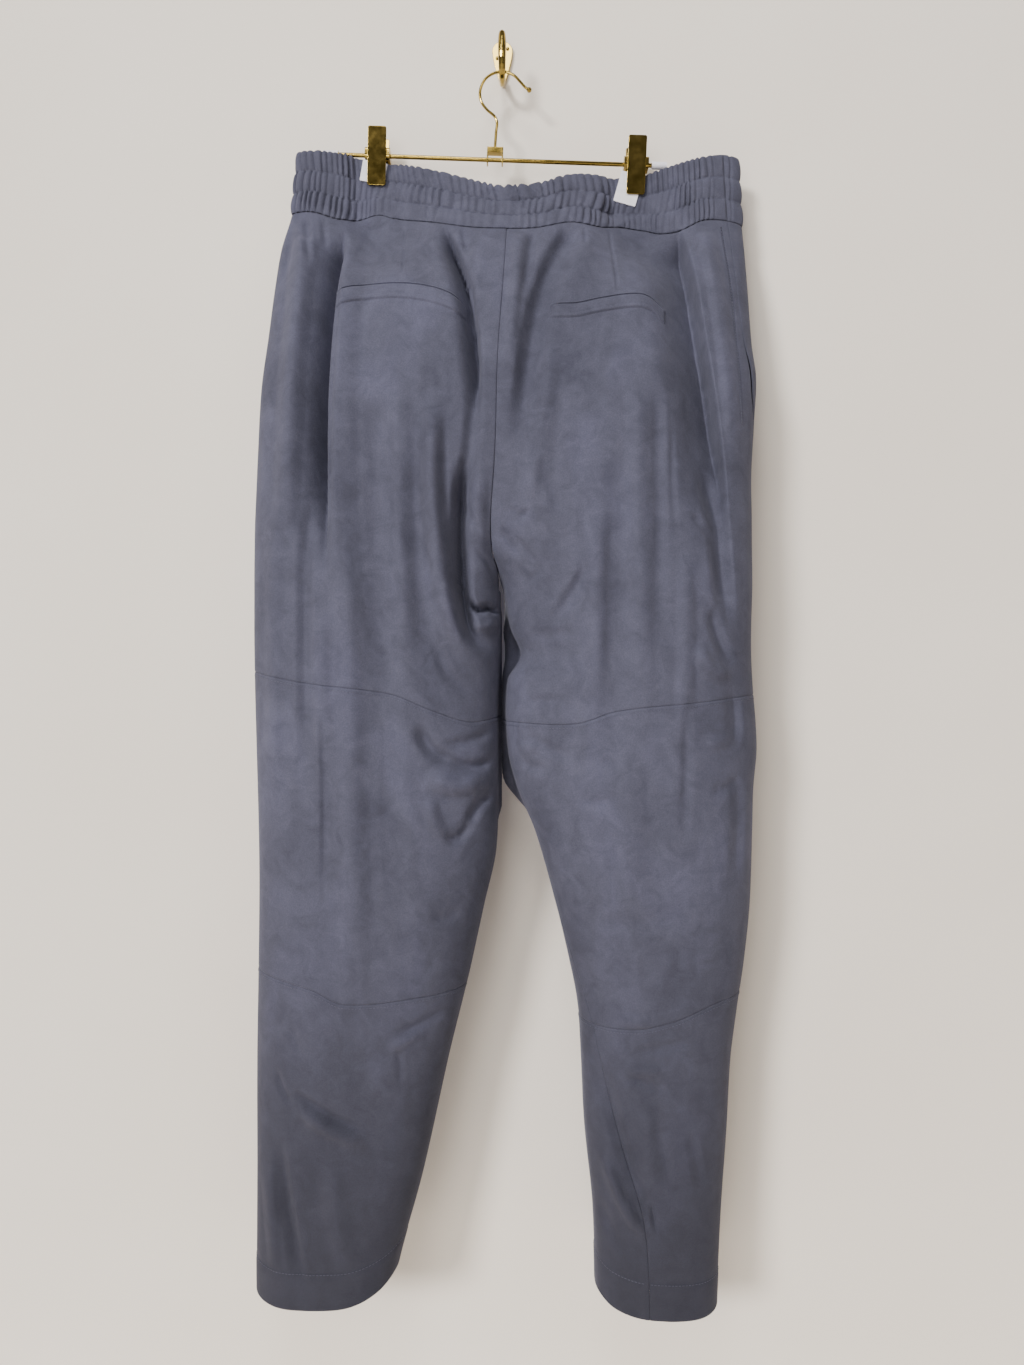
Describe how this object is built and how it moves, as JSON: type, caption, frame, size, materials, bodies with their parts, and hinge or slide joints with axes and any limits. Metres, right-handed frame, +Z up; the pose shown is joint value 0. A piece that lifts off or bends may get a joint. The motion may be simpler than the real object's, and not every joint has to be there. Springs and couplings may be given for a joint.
{
  "type": "suede trousers on a clip hanger and wall hook",
  "caption": "Suede pull-on trousers with elastic waist and tapered legs, hanging flat by the waistband from a two-clip hanger on a small wall hook.",
  "frame": {"origin": "centre of the wall plate's back face, on the wall", "axes": "+Y into the wall, +Z up, +X to the right as seen from the room; the trousers' back faces -Y"},
  "size_m": [0.4482, 0.1299, 1.1601],
  "materials": {
    "suede": "napped suede, blue-grey",
    "gold": "polished gold plate",
    "pad": "white, satin"
  },
  "bodies": {
    "root": {"left_back_upper": "suede", "left_back_middle": "suede", "left_back_lower": "suede", "left_front_upper": "suede", "left_front_middle": "suede", "left_front_lower": "suede", "left_back_welt": "suede", "right_back_upper": "suede", "right_back_middle": "suede", "right_back_lower": "suede", "right_front_upper": "suede", "right_front_middle": "suede", "right_front_lower": "suede", "right_back_welt": "suede", "waistband_back": "suede", "waistband_front": "suede", "hanger_bar": "gold", "neck_clip": "gold", "hook_wire": "gold", "bar_cap_left": "pad", "clip_left_near_plate": "gold", "clip_left_far_plate": "gold", "clip_left_block": "gold", "pad_left_near": "pad", "pad_left_far": "pad", "bar_cap_right": "pad", "clip_right_near_plate": "gold", "clip_right_far_plate": "gold", "clip_right_block": "gold", "pad_right_near": "pad", "pad_right_far": "pad", "wall_plate": "gold", "wall_prong": "gold", "hook_screw_left": "gold", "hook_screw_right": "gold"}
  },
  "joints": []
}
